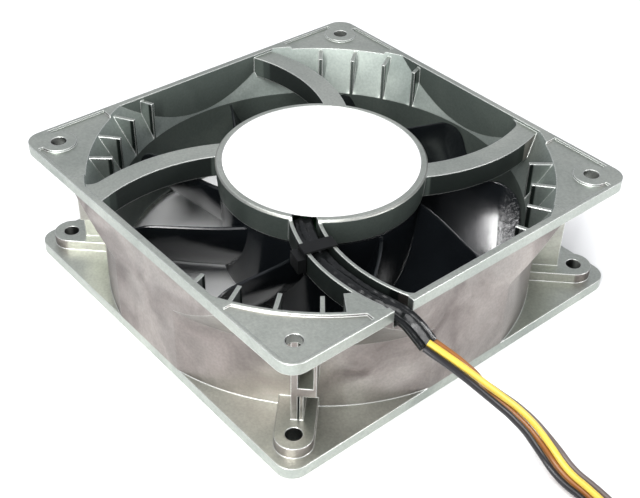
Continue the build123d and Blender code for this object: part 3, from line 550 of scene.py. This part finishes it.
# %% Places of the wires
# Each wire's colour, then its place at stations along the lead, in mm: station, across to the right, up
wires = {
    "pvc_yellow": (
        "#e6c64f",
        [(0, 0.25, 0.75), (8, 0.3, 0.85), (20, 0.3, 0.95), (35, 0.2, 1.0), (80, 0.2, 0.9), (95, 0.85, 0.85)],
    ),
    "pvc_brown": (
        "#9a622e",
        [(0, -1.6, 0.35), (8, -1.65, 0.35), (14, -1.6, 0.1), (17, -1.0, -0.35), (20, 0.0, -0.8),
         (28, 0.95, -0.6), (35, 1.05, -0.6), (50, 0.85, -0.65), (65, 0.4, -0.85), (80, 0.0, -0.85),
         (95, -0.85, -0.85)],
    ),
    "pvc_black": (
        "#161418",
        [(0, 1.8, -0.05), (8, 2.0, 0.0), (14, 2.4, 0.0), (20, 2.9, 0.0), (28, 3.5, -0.1), (35, 3.5, -0.1),
         (50, 3.0, -0.2), (65, 2.4, -0.4), (80, 1.9, -0.7), (95, 0.85, -0.85)],
    ),
    "pvc_grey": (
        "#6a5f5c",
        [(0, 0.0, -0.85), (8, 0.0, -0.95), (14, -1.2, -1.9), (17, -2.0, -1.8), (20, -2.1, -0.6),
         (28, -1.8, 0.0), (35, -1.75, 0.1), (50, -2.0, 0.0), (65, -2.5, -0.3), (80, -2.7, -0.6),
         (95, -0.85, 0.85)],
    ),
}
lead_finishes = [soft_pvc(name, colour) for name, (colour, _) in wires.items()]
print("the insulation comes in", ", ".join(finish.name for finish in lead_finishes))

# %% [markdown]
# The skins of the wires
#
# Each wire is a round skin on a line of its own, lifted where it would sink
# into the sheet, and starts half a millimetre inside the sleeve's mouth. Four
# objects would do, but a lead is handled as one thing, so the four skins
# share one mesh with a material slot for each colour.

# %% Wires
wire_radius, wire_sides = 0.00085, 14
inside_mouth = 0.0005
_, across, upward = level_axes(lead_line)
around = np.linspace(0, 2 * np.pi, wire_sides, endpoint=False)
sideways, lift = np.cos(around)[None, :, None], np.sin(around)[None, :, None]
wire_points, wire_faces, wire_slots = [], [], []
for index, (_, places) in enumerate(wires.values()):
    station, right_of, above = (np.array(places) * MM).T
    out = np.interp(lead_stations, station, right_of)
    high = np.interp(lead_stations, station, above)
    middle = lead_line + across * out[:, None] + upward * high[:, None]
    middle[:, 2] = np.maximum(middle[:, 2], wire_radius)
    first_step = middle[1] - middle[0]
    middle[0] -= first_step / np.linalg.norm(first_step) * inside_mouth
    _, wire_across, wire_up = level_axes(middle)
    ring = sideways * wire_across[:, None, :] + lift * wire_up[:, None, :]
    grid = middle[:, None, :] + wire_radius * ring
    faces = skin_faces(len(grid), wire_sides, first=sum(len(points) for points in wire_points))
    wire_points.append(skin_points(grid))
    wire_faces += faces
    wire_slots += [index] * len(faces)
lead = new_mesh("lead_wires", np.vstack(wire_points), wire_faces, lead_finishes, smooth_below=60)
lead.data.polygons.foreach_set("material_index", wire_slots)
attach(lead, "frame")
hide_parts("lead_run", "lead_coil", "lead_tail")
print("the wires have", len(lead.data.polygons), "faces")

# %% [markdown]
# Die-cast aluminium: flow marks
#
# The fan's frame is one bare pressure die-casting. Metal that is shot into a
# cold mould sets in clouds and streaks a few centimetres across, and the
# mould's own surface leaves fine specks. One even grey would look like paint.
# So a noise of 26 mm, on coordinates that a slower one has bent a little,
# moves the tone between two greys, and a fine one adds the specks. The
# noise's fourth coordinate, W, only picks one pattern out of many.

# %% Flow marks
casting = empty_finish("die_cast_aluminium")
cast = casting.node_tree
coordinates = add(cast, "TexCoord")
place, normal = coordinates.outputs["Object"], coordinates.outputs["Normal"]
warp = add(cast, "TexNoise", {"Vector": place, "Scale": per_metre(24), "Detail": 2.0}).outputs["Color"]
bent = add(cast, "Mix", {"Factor": 0.03, "A": place, "B": warp}, data_type="VECTOR").outputs["Result"]
clouding = {"W": 7.9, "Scale": per_metre(26), "Detail": 4.0, "Roughness": 0.5, "Distortion": 0.5}
flow = add(cast, "TexNoise", {"Vector": bent, **clouding}, noise_dimensions="4D").outputs["Fac"]
grey = add(cast, "ValToRGB", {"Fac": flow})
darker, lighter = grey.color_ramp.elements
darker.position, darker.color = 0.34, linear("#b9bdba")
lighter.position, lighter.color = 0.66, linear("#dadcd8")
speckle = add(cast, "TexNoise", {"Vector": place, "Scale": per_metre(0.7), "Detail": 2.0}).outputs["Fac"]
contrast = {"Value": speckle, "From Min": 0.3, "From Max": 0.7, "To Min": 0.9, "To Max": 1.06}
specks = add(cast, "MapRange", contrast).outputs[0]
print("flow marks take", len(cast.nodes), "nodes")

# %% [markdown]
# Die-cast aluminium: which face is which
#
# Each kind of face gets its own tone: flat faces a cool light grey and
# outer walls a warm grey, a split by facing that is painted light; deep faces
# darker, which is painted shade; and flange rims and the struts' flanks
# lighter, which is a painted highlight. Faces could be given slots by hand,
# but this mesh comes from the solid model and is never touched. So the finish
# finds each kind by itself, from measures of a point's place and its normal:
# how upright the normal is, how much it looks to the axis, and how far the
# point lies from the axis, from a screw hole or from the middle height.

# %% Measures on the casting
screw_hole = (0.0525, 0.0525, 0.0)
middle_height = 0.019
flat_only = (1.0, 1.0, 0.0)
spot = add(cast, "SeparateXYZ", {"Vector": place})
facing = add(cast, "SeparateXYZ", {"Vector": normal})
lies_flat = add(cast, "Math", {0: facing.outputs["Z"]}, operation="ABSOLUTE").outputs[0]
to_axis = add(cast, "VectorMath", {0: place, 1: (-1.0, -1.0, 0.0)}, operation="MULTIPLY").outputs[0]
from_axis = add(cast, "VectorMath", {0: to_axis}, operation="LENGTH").outputs["Value"]
axis_way = add(cast, "VectorMath", {0: to_axis}, operation="NORMALIZE").outputs[0]
turned_in = add(cast, "VectorMath", {0: axis_way, 1: normal}, operation="DOT_PRODUCT").outputs["Value"]
# One corner stands for all four: x and y without their signs
quarter = add(cast, "VectorMath", {0: place}, operation="ABSOLUTE").outputs[0]
to_hole = add(cast, "VectorMath", {0: quarter, 1: screw_hole}, operation="SUBTRACT").outputs[0]
level_to_hole = add(cast, "VectorMath", {0: to_hole, 1: flat_only}, operation="MULTIPLY").outputs[0]
from_hole = add(cast, "VectorMath", {0: level_to_hole}, operation="LENGTH").outputs["Value"]
above_middle = add(cast, "Math", {0: spot.outputs["Z"], 1: middle_height}, operation="SUBTRACT").outputs[0]
from_middle = add(cast, "Math", {0: above_middle}, operation="ABSOLUTE").outputs[0]
sides = add(cast, "SeparateXYZ", {"Vector": quarter})
furthest = add(cast, "Math", {0: sides.outputs["X"], 1: sides.outputs["Y"]}, operation="MAXIMUM").outputs[0]
print("with the measures the casting's finish has", len(cast.nodes), "nodes")

# %% [markdown]
# Die-cast aluminium: masks and kinds of face
#
# A Map Range node turns a measure into a mask, 0 on one side of a limit and 1
# on the other, with a short soft step between, because a hard border would
# look painted. One mask alone marks too much: both the bore and the screw
# holes are steep. So each kind of face is the product of a few masks, and two
# tables, one of limits and one of kinds, say it all in one place.

# %% Kinds of face
# Each mask's measure, the value where the mask is 0, and the value where it is 1
limits = {
    "steep": (lies_flat, 0.42, 0.2),
    "side": (lies_flat, 0.85, 0.45),
    "flared": (lies_flat, 0.8, 0.6),
    "looks_out": (turned_in, 0.2, -0.2),
    "looks_in": (turned_in, 0.1, 0.6),
    "not_outward": (turned_in, -0.45, -0.3),
    "not_straight_in": (turned_in, 0.75, 0.6),
    "in_bore": (from_axis, 0.0574, 0.0570),
    "in_mouth": (from_axis, 0.0594, 0.0590),
    "on_cup": (from_axis, 0.0310, 0.0305),
    "in_hole": (from_hole, 0.0026, 0.0024),
    "high_up": (spot.outputs["Z"], 0.0235, 0.0245),
    "at_flange": (from_middle, 0.0156, 0.0159),
    "outermost": (furthest, 0.0580, 0.0584),
}
kinds = {
    "outer wall": ("side", "looks_out"),
    "flange rim": ("steep", "at_flange", "outermost"),
    "flare": ("flared", "looks_in"),
    "strut flank": ("steep", "not_outward", "high_up"),
    "inner wall": ("steep", "looks_in"),
    "mouth": ("steep", "in_mouth", "high_up", "not_straight_in"),
    "bore": ("steep", "in_bore"),
    "cup wall": ("steep", "on_cup"),
    "screw hole": ("steep", "in_hole"),
}
masks = {}
for name, (measure, none, full) in limits.items():
    masks[name] = add(cast, "MapRange", {"Value": measure, "From Min": none, "From Max": full}).outputs[0]
where = {}
for kind, names in kinds.items():
    where[kind] = masks[names[0]]
    for name in names[1:]:
        where[kind] = add(cast, "Math", {0: where[kind], 1: masks[name]}, operation="MULTIPLY").outputs[0]
print("the casting has", len(kinds), "kinds of face, from", len(limits), "masks")

# %% [markdown]
# Die-cast aluminium: the tones
#
# The flat faces are a cool light grey and the outer walls a warm grey with
# darker veins: the veins are flow marks, and the split by which way a face
# points is painted light. Deep faces are darker the deeper they lie, from the
# flare down to the bore, which is painted shade, and the flange rims and the
# struts' flanks are lighter, which is a painted highlight. The tones are laid
# on like coats of paint, one Mix node each, so that a later coat covers an
# earlier one. Last they are multiplied with the flow marks and the specks,
# which run through all of them.

# %% Tones of the casting
veining = {"W": 2.3, "Scale": per_metre(36), "Detail": 5.0, "Roughness": 0.45, "Distortion": 1.4}
veins = add(cast, "TexNoise", {"Vector": bent, **veining}, noise_dimensions="4D").outputs["Fac"]
streaky = add(cast, "MapRange", {"Value": veins, "From Min": 0.38, "From Max": 0.62}).outputs[0]
warm_greys = {"Factor": streaky, "A": linear("#8d8281"), "B": linear("#cac0be")}
veined_wall_tone = add(cast, "Mix", warm_greys, data_type="RGBA").outputs["Result"]
# Painted light: flat faces get a lighter, cooler tone than the warm outer walls; the veins on the walls are
# flow marks
tops_and_walls = {"Factor": where["outer wall"], "A": linear("#fbfdf5"), "B": veined_wall_tone}
tone = add(cast, "Mix", tops_and_walls, data_type="RGBA").outputs["Result"]
# Painted shade darkens the flare, inner walls, mouth, bore, cup wall and screw holes; a painted highlight
# lightens the flange rims and strut flanks
coats = {
    "flange rim": "#d6dad6",
    "flare": "#c4cbc7",
    "strut flank": "#f2f6f4",
    "inner wall": "#6f7873",
    "mouth": "#4b5350",
    "bore": "#323836",
    "cup wall": "#666e6a",
    "screw hole": "#868785",
}
for kind, colour in coats.items():
    coat = {"Factor": where[kind], "A": tone, "B": linear(colour)}
    tone = add(cast, "Mix", coat, data_type="RGBA").outputs["Result"]
marked = add(cast, "VectorMath", {0: grey.outputs["Color"], 1: tone}, operation="MULTIPLY").outputs[0]
specked = add(cast, "VectorMath", {0: marked, 1: specks}, operation="MULTIPLY").outputs[0]
print("the casting has", len(coats), "coats over the skimmed and the as-cast tone")

# %% [markdown]
# Die-cast aluminium: edges, grain and gloss
#
# Handling rubs the edges of bare aluminium bright, and the lighter tone there
# is also a painted highlight. A bevel on the mesh would change the solid, so
# the Bevel node is asked for the normal of a slightly rounded edge: where it
# leaves the true normal there is an edge, and the tone there turns light, as
# wear and painted highlight both. Grain 0.35 mm apart gives the sandy feel of
# a casting. The deep faces, which carry the painted shade, are only part
# metal, and the flare is more matt than the rest.

# %% Edges and gloss
rounded = add(cast, "Bevel", {"Radius": 0.0005}, samples=6).outputs[0]
true_normal = add(cast, "NewGeometry").outputs["True Normal"]
alike = add(cast, "VectorMath", {0: rounded, 1: true_normal}, operation="DOT_PRODUCT").outputs["Value"]
# The light tone on edges is partly wear and partly a painted highlight
edge_wear_and_highlight_range = {"Value": alike, "From Min": 0.985, "From Max": 0.80, "To Min": 0.0, "To Max": 0.9}
edge_wear_and_highlight = add(cast, "MapRange", edge_wear_and_highlight_range).outputs[0]
rubbed_and_highlit_tone = {"Factor": edge_wear_and_highlight, "A": specked, "B": linear("#f4f6f2")}
worn_and_highlit = add(cast, "Mix", rubbed_and_highlit_tone, data_type="RGBA").outputs["Result"]
grain = add(cast, "TexNoise", {"Vector": place, "Scale": per_metre(0.35), "Detail": 3.0}).outputs["Fac"]
sandy = {"Height": grain, "Strength": 0.35, "Distance": 0.00012, "Normal": rounded}
relief = add(cast, "Bump", sandy).outputs[0]
deep_faces = add(cast, "Math", {0: where["inner wall"], 1: where["bore"]}, operation="MAXIMUM").outputs[0]
bare = add(cast, "MapRange", {"Value": deep_faces, "To Min": 1.0, "To Max": 0.45}).outputs[0]
gloss = add(cast, "MapRange", {"Value": flow, "To Min": 0.44, "To Max": 0.36}).outputs[0]
matt = add(cast, "Math", {0: where["flare"], 1: 0.22, 2: gloss}, operation="MULTIPLY_ADD").outputs[0]
metal = {"Base Color": worn_and_highlit, "Metallic": bare, "Roughness": matt, "Normal": relief}
cast_metal = add(cast, "BsdfPrincipled", metal)
add(cast, "OutputMaterial", {"Surface": cast_metal.outputs[0]})
print("the casting's finish has", len(cast.nodes), "nodes")

# %% [markdown]
# Glass-filled polyester: the wheel
#
# The wheel is moulded in one piece from glass-filled polyester, in a polished
# mould: near black and glossy, with a slow waviness from shrinking as it
# cools. Over its last 5 mm each blade is stippled, where the melt met the
# cold end of the mould. The stipple could be a second material, but a slot
# has a hard border. A mask on the distance from the axis lets relief and
# roughness grow over 1.6 mm instead.

# %% Blade plastic
def blade_plastic():
    """Near-black moulding with waves 9 mm apart, and past 52 mm from the axis a stipple 1.3 mm apart."""
    finish = empty_finish("glass_filled_polyester")
    tree = finish.node_tree
    place = add(tree, "TexCoord").outputs["Object"]
    mottle = add(tree, "TexNoise", {"Vector": place, "Scale": per_metre(9), "Detail": 3.0}).outputs["Fac"]
    blacks = {"Factor": mottle, "A": linear("#0c0e10"), "B": linear("#15181b")}
    shade = add(tree, "Mix", blacks, data_type="RGBA").outputs["Result"]
    flat_place = add(tree, "VectorMath", {0: place, 1: flat_only}, operation="MULTIPLY").outputs[0]
    reach = add(tree, "VectorMath", {0: flat_place}, operation="LENGTH").outputs["Value"]
    tip = add(tree, "MapRange", {"Value": reach, "From Min": 0.0512, "From Max": 0.0528}).outputs[0]
    dots = {"Vector": place, "Scale": per_metre(1.3), "Detail": 3.0, "Roughness": 0.6, "Distortion": 0.8}
    stipple = add(tree, "TexNoise", dots).outputs["Fac"]
    rough_tip = add(tree, "Math", {0: stipple, 1: tip}, operation="MULTIPLY").outputs[0]
    rounded = add(tree, "Bevel", {"Radius": 0.0004}, samples=4).outputs[0]
    waviness = {"Height": mottle, "Strength": 0.2, "Distance": 0.0002, "Normal": rounded}
    waves = add(tree, "Bump", waviness).outputs[0]
    stippling = {"Height": rough_tip, "Strength": 0.7, "Distance": 0.0002, "Normal": waves}
    relief = add(tree, "Bump", stippling).outputs[0]
    gloss = add(tree, "MapRange", {"Value": tip, "To Min": 0.155, "To Max": 0.26}).outputs[0]
    skin = {"Base Color": shade, "Roughness": gloss, "Normal": relief, "IOR": 1.56}
    body = add(tree, "BsdfPrincipled", skin)
    add(tree, "OutputMaterial", {"Surface": body.outputs[0]})
    return finish


dressed = []


def dress(finish, *names):
    """Gives nodes of the solid model a finish by way of their own material slots."""
    for name in names:
        for slot in nodes[name].material_slots:
            slot.material = finish
    dressed.extend(names)


dress(casting, "housing")
dress(blade_plastic(), "impeller")
print("dressed so far:", dressed)

# %% [markdown]
# Finishes of the small pieces
#
# The other pieces are small or sit inside the cup and the hub, where they
# show only when the fan is taken apart. Each could have a tree of its own,
# but at their size two close tones, a fine relief and the right metal or
# plastic gloss are all that one sees. One function makes that, and each
# finish gives it its colours, the size of its mottle and its roughness.

# %% Plain finishes
def plain_finish(
    name, colour, second, size_mm, roughness, metallic=0.0, relief_mm=0.02, relief_size_mm=0.4, shine=0.5
):
    """Two tones mottled every size_mm, a relief relief_mm deep, and a roughness that follows the mottle."""
    finish = empty_finish(name)
    tree = finish.node_tree
    place = add(tree, "TexCoord").outputs["Object"]
    slow = {"Vector": place, "Scale": per_metre(size_mm), "Detail": 3.0}
    mottle = add(tree, "TexNoise", slow).outputs["Fac"]
    tones = {"Factor": mottle, "A": linear(colour), "B": linear(second)}
    shade = add(tree, "Mix", tones, data_type="RGBA").outputs["Result"]
    fine = {"Vector": place, "Scale": per_metre(relief_size_mm), "Detail": 2.0}
    grain = add(tree, "TexNoise", fine).outputs["Fac"]
    relief = add(tree, "Bump", {"Height": grain, "Strength": 0.4, "Distance": relief_mm * MM}).outputs[0]
    spread = {"Value": mottle, "To Min": roughness - 0.06, "To Max": roughness + 0.08}
    gloss = add(tree, "MapRange", spread).outputs[0]
    gloss_and_metal = {"Roughness": gloss, "Metallic": metallic, "Specular IOR Level": shine}
    body = add(tree, "BsdfPrincipled", {"Base Color": shade, "Normal": relief, **gloss_and_metal})
    add(tree, "OutputMaterial", {"Surface": body.outputs[0]})
    return finish


# Coated paper, bright white with a soft sheen
dress(plain_finish("coated_label_paper", "#f7f7f5", "#f2f2f0", size_mm=8, roughness=0.4), "label")
# Nylon of the tie, black and duller than the sleeve beside it
dress(plain_finish("tie_nylon", "#0b0c0c", "#121313", size_mm=3, roughness=0.4, shine=0.25), "cable_tie")
# Nylon of the connector, a bluish black
dress(plain_finish("connector_nylon", "#1c1f22", "#24272a", size_mm=3, roughness=0.45), "connector_housing")
# Gold plate on the contacts, which shines out of the connector's windows
gold = plain_finish("gold_plate", "#d8ac4a", "#c99a38", size_mm=1, roughness=0.25, metallic=1.0)
dress(gold, "connector_contacts")
print("dressed so far:", len(dressed), "of", len(nodes), "nodes")

# %% [markdown]
# Shaft and bearings
#
# Turned brass is warm and bright, ground bearing steel is the smoothest metal
# in the fan, and spring steel is darker from its heat treatment. Turning
# marks could be drawn with an anisotropic shader, but nothing shows them at
# this size. A metal's look comes from its tint and its roughness, so these
# differ in those and keep the shader's own IOR.

# %% Shaft and bearings
brass = plain_finish("turned_brass", "#c9a860", "#b8944c", size_mm=2, roughness=0.3, metallic=1.0)
dress(brass, "bearing_tube", "shaft_bushing")
ground = plain_finish(
    "ground_bearing_steel", "#c2c4c6", "#b0b3b6", size_mm=3, roughness=0.18, metallic=1.0, relief_mm=0.005
)
dress(ground, "shaft")
for bearing in ("upper_bearing", "lower_bearing"):
    dress(ground, bearing + "_outer_ring", bearing + "_inner_ring", bearing + "_balls")
spring = plain_finish("spring_steel", "#8f9296", "#7d8084", size_mm=3, roughness=0.35, metallic=1.0)
dress(spring, "retaining_clip", "preload_washer")
print("dressed so far:", len(dressed), "of", len(nodes), "nodes")

# %% [markdown]
# Motor and board
#
# The rotor's yoke is pressed steel with a light oil film, and its magnet is
# bonded ferrite, charcoal and matt. The core is stacked silicon steel under
# covers of cream nylon, wound with enamelled copper. Turns that thin would
# cost many faces inside the hub, so a coarse relief stands for them. The
# board is green glass epoxy with black moulded parts and one bright
# aluminium can.

# %% Motor and board
pressed = plain_finish("pressed_steel", "#9ea19f", "#8a8e8d", size_mm=8, roughness=0.4, metallic=0.9)
dress(pressed, "rotor_yoke")
dress(plain_finish("bonded_ferrite", "#2b2b2d", "#3a393a", size_mm=1.2, roughness=0.7), "ring_magnet")
sheets = plain_finish("silicon_steel", "#6f7377", "#5d6063", size_mm=1, roughness=0.45, metallic=0.9)
dress(sheets, "stator_core")
insulator = plain_finish("nylon_insulator", "#dad6c8", "#cfcab9", size_mm=5, roughness=0.5)
dress(insulator, "upper_insulator", "lower_insulator")
enamelled_wire = {"metallic": 0.8, "relief_mm": 0.1, "relief_size_mm": 0.5}
copper = plain_finish("enamelled_copper", "#b3622f", "#9a4c22", size_mm=0.6, roughness=0.3, **enamelled_wire)
dress(copper, "stator_windings")
dress(plain_finish("glass_epoxy_board", "#1f5a33", "#2a6b3c", size_mm=4, roughness=0.4), "circuit_board")
moulded = plain_finish("epoxy_moulding", "#1e1e20", "#28282a", size_mm=2, roughness=0.55)
dress(moulded, "driver_chip", "switching_transistors", "hall_sensor")
can = plain_finish("aluminium_can", "#c4c6c8", "#b2b4b6", size_mm=3, roughness=0.3, metallic=0.9)
dress(can, "filter_capacitor")
print("left to the sleeve and the wires:", sorted(set(nodes) - set(dressed)))
